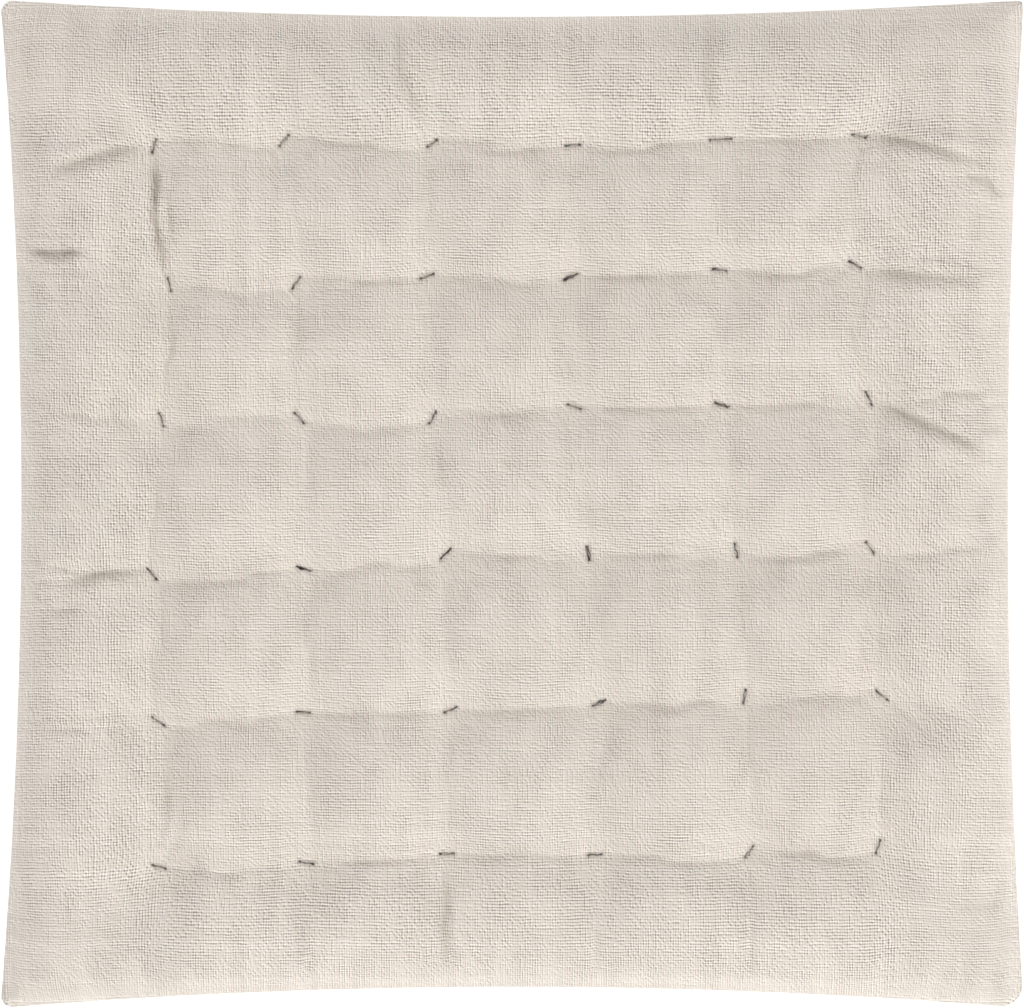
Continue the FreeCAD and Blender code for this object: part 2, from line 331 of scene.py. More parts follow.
def grid_faces(rows, columns):
    index = np.arange(rows * columns).reshape(rows, columns)
    a = index[:-1, :-1].ravel()
    b = index[1:, :-1].ravel()
    c = index[1:, 1:].ravel()
    d = index[:-1, 1:].ravel()
    return np.stack([a, b, c, d], axis=-1)


def new_object(name, points, faces):
    mesh = bpy.data.meshes.new(name)
    mesh.from_pydata([tuple(p) for p in np.asarray(points)], [], [tuple(int(i) for i in f) for f in faces])
    mesh.update()
    made = bpy.data.objects.new(name, mesh)
    bpy.context.scene.collection.objects.link(made)
    return made


def settle(plan, flat, heights, pinned, seed):
    """Draws a flat cloth onto its seam and tufts and lets it fill out. Returns its plan and heights."""
    rows, columns = heights.shape
    random = np.random.default_rng(seed)
    sewn = np.dstack([plan, heights]).reshape(-1, 3) * GROWN
    cut = np.dstack([flat, np.zeros_like(heights)]).reshape(-1, 3) * GROWN
    cut[:, 2] = random.normal(0.0, RIPPLE, len(cut)) * GROWN
    cloth = new_object("settling_cloth", cut, grid_faces(rows, columns))
    cloth.shape_key_add(name="Basis")
    key = cloth.shape_key_add(name="sewn")
    key.data.foreach_set("co", sewn.astype(np.float32).ravel())
    key.value = 0.0
    key.keyframe_insert("value", frame=1)
    key.value = 1.0
    key.keyframe_insert("value", frame=SEWN_BY)
    group = cloth.vertex_groups.new(name="pinned")
    group.add([int(i) for i in np.flatnonzero(pinned.ravel())], 1.0, "REPLACE")
    modifier = cloth.modifiers.new("cloth", "CLOTH")
    settings = modifier.settings
    settings.quality = QUALITY
    settings.mass = 0.3
    settings.air_damping = AIR
    settings.tension_stiffness = TENSION
    settings.compression_stiffness = COMPRESSION
    settings.shear_stiffness = SHEAR
    settings.bending_stiffness = BENDING
    settings.use_pressure = True
    settings.uniform_pressure_force = PRESSURE
    settings.vertex_group_mass = "pinned"
    settings.effector_weights.gravity = 0.0
    modifier.collision_settings.use_collision = False
    modifier.point_cache.frame_end = FRAMES
    scene = bpy.context.scene
    for step in range(1, FRAMES + 1):
        scene.frame_set(step)
    settled = cloth.evaluated_get(bpy.context.evaluated_depsgraph_get()).data
    points = np.zeros(len(settled.vertices) * 3, np.float32)
    settled.vertices.foreach_get("co", points)
    scene.frame_set(1)
    bpy.data.objects.remove(cloth)
    points = points.reshape(rows, columns, 3).astype(float) / GROWN
    return points[:, :, :2], points[:, :, 2]


def finer(field):
    """Doubles the grid in both directions with a smooth curve through the points it has."""
    for axis in (0, 1):
        field = np.moveaxis(field, axis, 0)
        ends = np.concatenate([2 * field[:1] - field[1:2], field, 2 * field[-1:] - field[-2:-1]])
        between = (9 * (ends[1:-2] + ends[2:-1]) - ends[:-3] - ends[3:]) / 16
        doubled = np.empty((2 * len(field) - 1,) + field.shape[1:])
        doubled[::2] = field
        doubled[1::2] = between
        field = np.moveaxis(doubled, 0, axis)
    return field


def smoother(field, weight, rounds):
    """Relaxes a field towards its neighbours, as far as the weight from 0 to 1 lets it."""
    for _ in range(rounds):
        padded = np.pad(field, ((1, 1), (1, 1)), mode="edge")
        mean = (padded[:-2, 1:-1] + padded[2:, 1:-1] + padded[1:-1, :-2] + padded[1:-1, 2:]) / 4
        field = field + weight * (mean - field)
    return field


def corner_share(plan):
    """1 in the middle of the four corner squares and 0 elsewhere, without a step between."""
    lines = lattice_steps(plan)
    depth = np.minimum(lines, TUFTS + 1 - lines)
    outer = np.clip(1.15 - depth, 0, 0.3) / 0.3
    return outer[:, None] * outer[None, :]


def polyline_distance(x, y, points):
    """Distance to a line through points, and how far along it, from 0 to 1, the nearest place is."""
    points = np.asarray(points)
    spans = np.hypot(*np.diff(points, axis=0).T)
    total = spans.sum()
    best = np.full(x.shape, np.inf)
    share = np.zeros(x.shape)
    done = 0.0
    for start, end, span in zip(points[:-1], points[1:], spans):
        along = ((x - start[0]) * (end[0] - start[0]) + (y - start[1]) * (end[1] - start[1])) / span
        along = np.clip(along, 0, span)
        px = start[0] + along / span * (end[0] - start[0])
        py = start[1] + along / span * (end[1] - start[1])
        distance = np.hypot(x - px, y - py)
        nearer = distance < best
        best = np.where(nearer, distance, best)
        share = np.where(nearer, (done + along) / total, share)
        done += span
    return best, share


# ---------------------------------------------------------------- folds and puckers

# Each fold in the top cover: the tuft it belongs to (row, column), its depth and half width in mm, and
# its line as (right, back) offsets in mm from that tuft. A negative depth is a raised fold.
FOLDS = (
    (0, 0, 1.9, 2.4, ((-2, 1), (-18, -3), (-43, -12))),
    (0, 0, 3.0, 1.2, ((0, -3), (1, -14), (0, -27), (5, -52))),
    (1, 0, 3.0, 1.7, ((-57, 14), (-44, 11), (-31, 13))),
    (3, 0, 1.6, 2.2, ((-2, 1), (-20, 0), (-37, -5))),
    (3, 0, 1.1, 1.8, ((-41, -16), (-25, -12))),
    (0, 5, 2.1, 2.2, ((2, 0), (21, -3), (46, -11))),
    (0, 5, 2.0, 1.8, ((40, -16), (49, -18), (57, -25))),
    (1, 5, 1.5, 2.3, ((4, -2), (26, -5), (50, -7))),
    (2, 5, 2.5, 2.3, ((2, -1), (21, -10), (46, -21))),
    (2, 5, 1.2, 1.6, ((42, -12), (54, -12))),
    (3, 5, -1.0, 2.6, ((28, 9), (48, 9))),
    (5, 5, 1.2, 2.0, ((29, -23), (50, -23))),
    (5, 2, 1.1, 2.2, ((0, -4), (-2, -28), (1, -47))),
    (0, 2, 1.4, 2.6, ((-13, 48), (-12, 28), (-3, 6))),
    (0, 4, 1.2, 2.4, ((-4, 49), (-6, 24), (-2, 6))),
)
DEEPEST_FOLD = 3.0


def fold_over(plan, heights):
    """Presses the folds into the top cover, each with a low ridge beside it. Gives heights and shade."""
    x = plan[:, :, 0]
    y = plan[:, :, 1]
    shade = np.zeros(heights.shape)
    for row, column, depth, width, line in FOLDS:
        points = stitches[row][column].centre + np.array(line) * MM
        distance, share = polyline_distance(x, y, points)
        fade = np.clip(np.minimum(share, 1 - share) / 0.25, 0, 1)
        groove = np.exp(-((distance / (width * MM)) ** 2))
        ridge = 0.35 * np.exp(-((distance / (width * MM) - 2.2) ** 2))
        heights = heights - depth * MM * fade * (groove - ridge)
        shade = np.maximum(shade, fade * groove ** 2 * max(depth, 0) / DEEPEST_FOLD)
    return heights, shade


def between_tufts(plan):
    """1 midway between two neighbouring tufts along a lattice line, 0 at each tuft and outside them."""
    lines = lattice_steps(plan)
    inside = (lines > 1) & (lines < TUFTS)
    return np.where(inside, np.sin(math.pi * (lines - np.floor(lines))) ** 2, 0)


def sagged(plan, sag):
    """Lets each row's valley hang a little towards the front between its tufts."""
    lines = lattice_steps(plan)
    near_row = np.where((lines > 0.5) & (lines < TUFTS + 0.5), np.cos(math.pi * lines) ** 2, 0)
    plan = plan.copy()
    plan[:, :, 1] -= sag * near_row[:, None] * between_tufts(plan)[None, :]
    return plan


def creased(plan, heights, axis, depth, width):
    """Draws the valleys of the rows (axis 0) or of the columns (axis 1) into creases."""
    across = plan[:, :, 1 - axis]
    lines = [line * len(plan) // (TUFTS + 1) for line in range(1, TUFTS + 1)]
    distance = np.min([np.abs(across - np.take(across, [line], axis)) for line in lines], axis=0)
    return heights - depth * np.exp(-distance / width) * np.expand_dims(between_tufts(plan), axis)


def edge_distance(plan):
    """How far each grid point is from the seam, along its grid line."""
    x = plan[:, :, 0]
    y = plan[:, :, 1]
    return np.minimum.reduce([x - x[:, :1], x[:, -1:] - x, y[:1] - y, y - y[-1:]])


def sewn_edge(plan, heights, seed):
    """Keeps the cloth full over the seam, with the small gathers that a seam draws in it."""
    inset = np.maximum(edge_distance(plan), 0)
    least = RIM + EDGE_RISE * np.minimum(inset, EDGE_RUN)
    heights = np.maximum(heights, least)
    random = np.random.default_rng(seed)
    around = np.zeros(inset.shape)
    x = plan[:, :, 0]
    y = plan[:, :, 1]
    for pitch in GATHER_PITCHES:
        for run, side in ((x, np.abs(y) - np.abs(x)), (y, np.abs(x) - np.abs(y))):
            phase = random.uniform(0, 2 * math.pi)
            shift = 0.6 * np.sin(run / (31 * MM) + phase)
            wave = np.sin(2 * math.pi * run / (pitch * MM) + 4 * shift + phase)
            around += np.where(side > 0, wave, 0) * (pitch / 21.0) ** 0.7
    reach = np.clip(inset / GATHER_START, 0, 1) * np.exp(-inset / GATHER_FADE)
    return heights + GATHER_HEIGHT * around * reach


def rested(heights):
    """Lets the underside settle flat on the seat where its pillows reach it."""
    room = SEAM_Z - heights
    return SEAM_Z - REST_SOFTNESS * np.logaddexp(0.0, room / REST_SOFTNESS)


# ---------------------------------------------------------------- pieces

def finish_mesh(made, body, slot, *nodes):
    """Smooth shading, the body it rides on and the CAD nodes it stands for. The slot argument is not used."""
    made.data.polygons.foreach_set("use_smooth", [True] * len(made.data.polygons))
    made.data.update()
    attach(made, body)
    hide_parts(*nodes)
    return made


def rim_indices(size):
    """The grid's outer points in order, once round."""
    index = np.arange(size * size).reshape(size, size)
    return np.concatenate([index[0, :-1], index[:-1, -1], index[-1, :0:-1], index[:0:-1, 0]])


def cover_panel(name, plan, flat, heights, side, shade):
    """One cover panel: its face, the fold at the seam and the allowance inside, as thick as the cloth."""
    size = plan.shape[0]
    face = np.dstack([plan, SEAM_Z + side * heights]).reshape(-1, 3)
    cut = flat.reshape(-1, 2)
    rim = rim_indices(size)
    half = np.array([high.x, high.y])
    points = [face]
    places = [cut]
    faces = list(grid_faces(size, size))
    ring = rim
    count = len(face)
    for inset, rise in FOLD_RINGS:
        drawn_in = face[rim, :2] * (1 - inset * MM / half)
        points.append(np.column_stack([drawn_in, np.full(len(rim), SEAM_Z + side * rise * MM)]))
        places.append(cut[rim] * (1 + (inset + 0.5) * MM / half))
        following = np.arange(count, count + len(rim))
        faces += list(np.stack([ring, np.roll(ring, -1), np.roll(following, -1), following], axis=-1))
        ring = following
        count += len(rim)
    faces = np.array(faces)
    if side < 0:
        faces = faces[:, ::-1]
    points = np.concatenate(points)
    made = new_object(name, points, faces)
    add_cloth_places(made, np.concatenate(places))
    add_tuft_places(made, points)
    add_face_values(made, "fold_shade", shade)
    add_face_values(made, "seam_distance", np.maximum(edge_distance(plan), 0))
    thick = made.modifiers.new("thickness", "SOLIDIFY")
    thick.thickness = CLOTH
    thick.offset = -1.0
    thick.use_rim = True
    apply_modifiers(made)
    return finish_mesh(made, "root", "cover_fabric", "top_panel" if side > 0 else "bottom_panel")


def add_face_values(made, name, values):
    """An attribute with a value for each point of the panel's face, and 0 on the folded edge."""
    folded = len(made.data.vertices) - values.size
    layer = made.data.attributes.new(name, "FLOAT", "POINT")
    layer.data.foreach_set("value", np.pad(values.ravel(), (0, folded)).astype(np.float32))


def apply_modifiers(made):
    evaluated = made.evaluated_get(bpy.context.evaluated_depsgraph_get())
    mesh = bpy.data.meshes.new_from_object(evaluated)
    made.modifiers.clear()
    made.data = mesh


def add_cloth_places(made, places):
    """A UV map that holds each point's place on the flat cloth, in metres from a corner."""
    layer = made.data.uv_layers.new(name="cloth")
    corners = np.array([loop.vertex_index for loop in made.data.loops])
    layer.data.foreach_set("uv", (places[corners] + 0.25).astype(np.float32).ravel())


def add_tuft_places(made, points):
    """Each point's place measured from its nearest stitch: along it and across it, and the hole spacing."""
    flat = [stitch for row in stitches for stitch in row]
    centres = np.array([stitch.centre for stitch in flat])
    offsets = points[:, None, :2] - centres[None, :, :]
    nearest = np.hypot(offsets[:, :, 0], offsets[:, :, 1]).argmin(axis=1)
    along = np.array([stitch.along for stitch in flat])[nearest]
    offset = points[:, :2] - centres[nearest]
    local = np.column_stack([
        (offset * along).sum(axis=1),
        offset[:, 0] * -along[:, 1] + offset[:, 1] * along[:, 0],
        np.array([stitch.half for stitch in flat])[nearest],
    ])
    layer = made.data.attributes.new("tuft_place", "FLOAT_VECTOR", "POINT")
    layer.data.foreach_set("vector", local.astype(np.float32).ravel())


def wadding_layer(name, plan, upper, lower, seed, node):
    """A layer of wadding between two surfaces, with the small lumps of its fibres."""
    rows, columns = upper.shape
    random = np.random.default_rng(seed)
    lumps = smoother(random.normal(0.0, 0.5 * MM, upper.shape), 1.0, 2)
    thickness = upper - lower
    upper = upper - np.abs(lumps) * (thickness > 2 * MM)
    top = np.dstack([plan, SEAM_Z + upper]).reshape(-1, 3)
    under = np.dstack([plan, SEAM_Z + lower]).reshape(-1, 3)
    over = grid_faces(rows, columns)
    rim = rim_indices(rows)
    beyond = rim + rows * columns
    sides = np.stack([rim, beyond, np.roll(beyond, -1), np.roll(rim, -1)], axis=-1)
    faces = np.concatenate([over, over[:, ::-1] + rows * columns, sides[:, ::-1]])
    made = new_object(name, np.concatenate([top, under]), faces)
    return finish_mesh(made, "root", "wadding", node)


def wadding_layers():
    """The filling: an upper and a lower layer that follow the covers, round a core."""
    layers = []
    for name, side, seed in zip(("upper", "lower"), (1, -1), WADDING_SEEDS):
        cover_plan, cover_heights = (top_plan, top_heights) if side > 0 else (under_plan, under_heights)
        keep = slice(WADDING_MARGIN, -WADDING_MARGIN)
        outer = np.maximum(cover_heights[keep, keep] - CLOTH - WADDING_GAP, WADDING_LEAST)
        inner = np.maximum(outer * CORE_SHARE, WADDING_INNER_LEAST)
        inner = np.minimum(inner, outer - WADDING_THINNEST)
        surfaces = (outer, inner) if side > 0 else (-inner, -outer)
        layers.append(wadding_layer(f"wadding_{name}_fibre", cover_plan[keep, keep], *surfaces, seed,
                                    f"wadding_{name}"))
    keep = slice(CORE_MARGIN, -CORE_MARGIN)
    above, below = [np.maximum(heights[keep, keep] * CORE_SHARE - CORE_GAP, CORE_LEAST)
                    for heights in (top_heights, under_heights)]
    layers.append(wadding_layer("wadding_core_fibre", top_plan[keep, keep], above, -below, CORE_SEED,
                                "wadding_core"))
    return layers


# ---------------------------------------------------------------- threads

STRAND = 0.16 * MM
LOBES = 3
TWIST_PITCH = 1.1 * MM
AROUND = 9

# A strand is thickest near one end of its stitch: where that is, as a share of the way along, how far it
# reaches, and the radius away from it and added at it, both as shares of the strand's own
HEAVY_PLACES = (0.16, 0.84, 0.72)
HEAVY_REACH = 0.15
THIN_END = 0.55
HEAVY_END = 0.75

# The turns of the cut tails under the pad, in degrees from the direction of the CAD's own
TAIL_TURNS = (-30, 30, 8)


def rounded(points, radius, step):
    """A path through points with its corners rounded, as evenly spaced places."""
    points = [np.asarray(p, float) for p in points]
    path = [points[0]]
    for before, here, after in zip(points[:-2], points[1:-1], points[2:]):
        back = before - here
        on = after - here
        reach = min(radius, np.linalg.norm(back) / 2.01, np.linalg.norm(on) / 2.01)
        a = here + back / np.linalg.norm(back) * reach
        b = here + on / np.linalg.norm(on) * reach
        for t in np.linspace(0, 1, 7):
            path.append((1 - t) ** 2 * a + 2 * t * (1 - t) * here + t * t * b)
    path.append(points[-1])
    path = np.array(path)
    lengths = np.concatenate([[0], np.cumsum(np.linalg.norm(np.diff(path, axis=0), axis=1))])
    count = max(4, int(lengths[-1] / step))
    even = np.linspace(0, lengths[-1], count)
    return np.stack([np.interp(even, lengths, path[:, k]) for k in range(3)], axis=-1)


def thread_mesh(path, radii, phase):
    """A twisted thread along a path: points and faces of a closed tube with a lobe for each ply."""
    tangents = np.gradient(path, axis=0)
    tangents /= np.linalg.norm(tangents, axis=1)[:, None]
    start = np.array([0.0, 0.0, 1.0]) if abs(tangents[0, 2]) < 0.9 else np.array([1.0, 0.0, 0.0])
    side = np.cross(tangents[0], start)
    side /= np.linalg.norm(side)
    travelled = 0.0
    points = []
    for i, (place, tangent) in enumerate(zip(path, tangents)):
        side = side - tangent * (side @ tangent)
        side /= np.linalg.norm(side)
        up = np.cross(tangent, side)
        if i:
            travelled += np.linalg.norm(place - path[i - 1])
        turn = phase + 2 * math.pi * travelled / TWIST_PITCH
        for k in range(AROUND):
            angle = 2 * math.pi * k / AROUND
            reach = radii[i] * (1 + 0.16 * math.cos(LOBES * angle - turn))
            points.append(place + reach * (math.cos(angle) * side + math.sin(angle) * up))
    rings = len(path)
    faces = []
    for i in range(rings - 1):
        for k in range(AROUND):
            a = i * AROUND + k
            b = i * AROUND + (k + 1) % AROUND
            faces.append((a, b, b + AROUND, a + AROUND))
    faces.append(tuple(range(AROUND))[::-1])
    faces.append(tuple(range((rings - 1) * AROUND, rings * AROUND)))
    return points, faces


# How some of the stitches differ, by (row, column): the number of strands, how far they spread, their
# thickness, the loose ends at each of the two holes, and the short fibres that stand out of a matted stitch
PLAIN = (2, 0.85, 1.0, 1, 0, 2)
DIFFERENT = {
    (0, 1): (2, 1.7, 0.9, 0, 0, 2), (0, 2): (2, 0.75, 0.9, 0, 1, 3), (0, 3): (2, 0.8, 0.65, 1, 2, 3),
    (0, 4): (2, 0.8, 0.8, 0, 0, 3), (0, 5): (2, 1.0, 0.55, 3, 2, 4), (1, 2): (2, 1.0, 0.8, 0, 0, 2),
    (1, 3): (3, 0.85, 1.4, 1, 1, 16), (1, 4): (2, 1.1, 0.8, 0, 2, 5), (1, 5): (3, 0.9, 0.8, 2, 0, 4),
    (2, 3): (2, 1.2, 0.8, 1, 1, 3), (2, 4): (3, 0.95, 1.6, 2, 2, 22), (2, 5): (2, 0.9, 0.9, 1, 0, 3),
    (3, 1): (3, 0.8, 1.4, 1, 1, 14), (3, 2): (3, 0.9, 1.5, 1, 0, 14), (3, 3): (3, 0.9, 1.7, 2, 1, 22),
    (4, 1): (2, 1.1, 0.8, 2, 0, 4), (4, 3): (3, 0.7, 0.9, 0, 1, 4), (4, 5): (2, 1.3, 0.6, 1, 2, 4),
    (5, 1): (2, 0.9, 0.9, 2, 1, 3), (5, 2): (2, 1.2, 0.7, 2, 0, 3), (5, 3): (3, 0.7, 1.0, 1, 0, 4),
    (5, 4): (2, 0.8, 0.9, 1, 1, 3),
}


def tie(stitch, under_level):
    """One tuft tie: its strands across the top, its legs, and its knot and cut tails underneath."""
    random = np.random.default_rng(TIE_SEED + 10 * stitch.row + stitch.column)
    place = (stitch.row, stitch.column)
    count, spread, thickness, fray_start, fray_end, fibres = DIFFERENT.get(place, PLAIN)
    along = np.array([*stitch.along, 0.0])
    across = np.array([-along[1], along[0], 0.0])
    middle = np.array([*stitch.centre, 0.0])
    lift = np.array([0.0, 0.0, 1.0])
    points = []
    faces = []

    def add(path, radii):
        more, new_faces = thread_mesh(np.asarray(path), radii, random.uniform(0, 6))
        faces.extend(tuple(index + len(points) for index in face) for face in new_faces)
        points.extend(more)

    bottom = under_level - STRAND
    heavy = random.choice(HEAVY_PLACES)
    knot_place = middle + lift * (bottom - 0.5 * MM)
    for strand in range(count):
        offset = (strand - (count - 1) / 2) * 2 * STRAND * spread
        sway = across * (offset + random.normal(0, 0.12 * MM))
        skew = across * random.normal(0, 0.28 * MM)
        hole = across * offset * 0.35
        bow = across * random.normal(0, 0.22 * MM)
        level = stitch.level + STRAND + random.uniform(0.0, 0.25 * MM)
        first = middle - along * stitch.half
        last = middle + along * stitch.half
        top_run = [
            first + hole + lift * (level - 1.6 * MM),
            first + along * 0.35 * MM + hole + lift * (level + 0.05 * MM),
            middle - along * stitch.half * 0.45 + sway - skew + lift * (level + 0.3 * MM),
            middle + along * stitch.half * 0.35 + sway + skew + bow + lift * (level + 0.22 * MM),
            last - along * 0.35 * MM + hole + lift * (level + 0.05 * MM),
            last + hole + lift * (level - 1.6 * MM),
        ]
        path = rounded(top_run, 0.9 * MM, 0.22 * MM)
        share = np.linspace(0, 1, len(path))
        from_heavy = (share - heavy - random.normal(0, 0.05)) / HEAVY_REACH
        add(path, thickness * STRAND * (THIN_END + HEAVY_END * np.exp(-(from_heavy ** 2))))
        for end in (first, last):
            leg = [end + hole + lift * (level - 1.5 * MM), end + hole + lift * bottom]
            leg_path = rounded([leg[0], (leg[0] + leg[1]) / 2, leg[1]], 1 * MM, 2 * MM)
            add(leg_path, [STRAND] * len(leg_path))
            under = [leg[1] + lift * 1.0 * MM, leg[1] - lift * 0.1 * MM, knot_place + hole]
            path = rounded(under, 0.6 * MM, 0.3 * MM)
            add(path, [STRAND] * len(path))
    for hole_place, towards, ends in ((-stitch.half, -1, fray_start), (stitch.half, 1, fray_end)):
        for _ in range(ends):
            start = middle + along * hole_place + lift * (stitch.level + 0.1 * MM)
            turn = random.uniform(-1.1, 1.1)
            reach = random.uniform(1.0, 2.4) * MM
            aim = towards * along * math.cos(turn) + across * math.sin(turn)
            risen = start + aim * reach / 2 + lift * 0.45 * MM
            tip = start + aim * reach + lift * 0.2 * MM
            path = rounded([start, risen, tip], 0.5 * MM, 0.2 * MM)
            add(path, np.linspace(0.62, 0.25, len(path)) * STRAND)
    for _ in range(fibres):
        at = (2 * heavy - 1) * stitch.half * 0.8 + random.normal(0, 0.7 * MM)
        start = middle + along * at + across * random.normal(0, 0.25 * MM) + lift * (stitch.level + 0.25 * MM)
        turn = random.uniform(0, 2 * math.pi)
        aim = along * math.cos(turn) + 0.8 * across * math.sin(turn)
        reach = random.uniform(0.5, 1.1) * MM
        risen = start + aim * reach / 2 + lift * 0.3 * MM
        path = rounded([start, risen, start + aim * reach], 0.3 * MM, 0.15 * MM)
        add(path, np.linspace(0.42, 0.22, len(path)) * STRAND)
    add_knot(add, knot_place)
    for spread_turn in TAIL_TURNS:
        turn = stitch.tail_turn + math.radians(spread_turn + random.uniform(-6, 6))
        aim = np.array([math.cos(turn), math.sin(turn), 0.0])
        reach = random.uniform(4.6, 5.4) * MM
        drop = random.uniform(3.2, 4.3) * MM
        path = rounded([knot_place, knot_place + aim * reach * 0.45 - lift * drop * 0.25,
                        knot_place + aim * reach - lift * drop], 2 * MM, 0.3 * MM)
        add(path, STRAND * np.linspace(1.0, 0.85, len(path)))
    made = new_object(f"{stitch.node}_thread", points, faces)
    return finish_mesh(made, "root", "tuft_thread", stitch.node)


def add_knot(add, place):
    """A small pulled-up knot: one strand wound through itself."""
    t = np.linspace(0, 2 * math.pi, 44)
    wound_x = np.sin(t) + 1.6 * np.sin(2 * t)
    wound_y = np.cos(t) - 1.6 * np.cos(2 * t)
    wound_z = -1.3 * np.sin(3 * t)
    add(place + np.stack([wound_x, wound_y, wound_z], axis=-1) * 0.3 * MM, [STRAND * 1.15] * len(t))


# ---------------------------------------------------------------- materials

class Nodes:
    """A material's node tree, with short ways to add to it."""

    def __init__(self, name):
        self.material = bpy.data.materials.new(name)
        self.material.use_nodes = True
        self.tree = self.material.node_tree
        self.shader = self.tree.nodes["Principled BSDF"]

    def node(self, kind, inputs=(), **settings):
        made = self.tree.nodes.new("ShaderNode" + kind)
        for name, value in settings.items():
            setattr(made, name, value)
        for key, value in dict(inputs).items():
            self.put(made.inputs[key], value)
        return made

    def put(self, socket, value):
        if isinstance(value, bpy.types.NodeSocket):
            self.tree.links.new(value, socket)
        else:
            socket.default_value = value

    def math(self, operation, *values):
        made = self.node("Math", operation=operation)
        for socket, value in zip(made.inputs, values):
            self.put(socket, value)
        return made.outputs[0]

    def length(self, a, b):
        squares = [self.math("MULTIPLY", value, value) for value in (a, b)]
        return self.math("SQRT", self.math("ADD", *squares))

    def noise(self, place, scale, detail=2.0, roughness=0.5):
        made = self.node("TexNoise", {"Vector": place, "Scale": scale, "Detail": detail,
                                      "Roughness": roughness})
        return made.outputs["Fac"]

    def pair(self, a, b):
        return self.node("CombineXYZ", {0: a, 1: b}).outputs[0]

    def random(self, value):
        return self.node("TexWhiteNoise", {"W": value}, noise_dimensions="1D").outputs["Value"]

    def random_pair(self, a, b):
        return self.node("TexWhiteNoise", {"Vector": self.pair(a, b)}, noise_dimensions="2D").outputs["Value"]

    def ramp(self, value, low, high, to_low=0.0, to_high=1.0, smooth=True):
        kind = "SMOOTHSTEP" if smooth else "LINEAR"
        made = self.node("MapRange", {"Value": value, "From Min": low, "From Max": high,
                                      "To Min": to_low, "To Max": to_high}, interpolation_type=kind)
        return made.outputs["Result"]

    def mix(self, factor, a, b):
        made = self.node("Mix", data_type="RGBA")
        for socket, value in ((made.inputs[0], factor), (made.inputs[6], a), (made.inputs[7], b)):
            self.put(socket, value)
        return made.outputs[2]

    def scaled(self, colour, value):
        made = self.node("VectorMath", operation="SCALE")
        self.put(made.inputs[0], colour)
        self.put(made.inputs["Scale"], value)
        return made.outputs[0]

    def bump(self, height, distance, strength):
        made = self.node("Bump", {"Height": height, "Distance": distance, "Strength": strength})
        return made.outputs["Normal"]

    def tuft_place(self):
        """The place from the nearest stitch: along it, across it, and half the spacing of its holes."""
        stored = self.node("Attribute", attribute_name="tuft_place").outputs["Vector"]
        return self.node("SeparateXYZ", {0: stored}).outputs

    def object_place(self):
        return self.node("TexCoord").outputs["Object"]


# The cloth's colours: its threads from flax to pale, its slubs, its mottling, and its shaded places, with a
# near-black painted shade in the gap between four crossings and in the needle holes. A gap's size runs from
# the smallest to the largest, as a share of half the weave's pitch.
FLAX = (0.825, 0.75, 0.678, 1.0)
PALE = (0.92, 0.854, 0.795, 1.0)
SLUB = (0.60, 0.53, 0.44, 1.0)
COOL = (0.78, 0.75, 0.68, 1.0)
ROSE = (0.86, 0.765, 0.70, 1.0)
SHADE = (0.30, 0.25, 0.20, 1.0)
FOLD_SHADE = (0.24, 0.205, 0.15, 1.0)
# Near-black painted shade for the gap where four crossings meet and for the needle holes
GAP_SHADE = (0.045, 0.034, 0.026, 1.0)
GAP_SMALL = 0.14
GAP_LARGE = 0.76


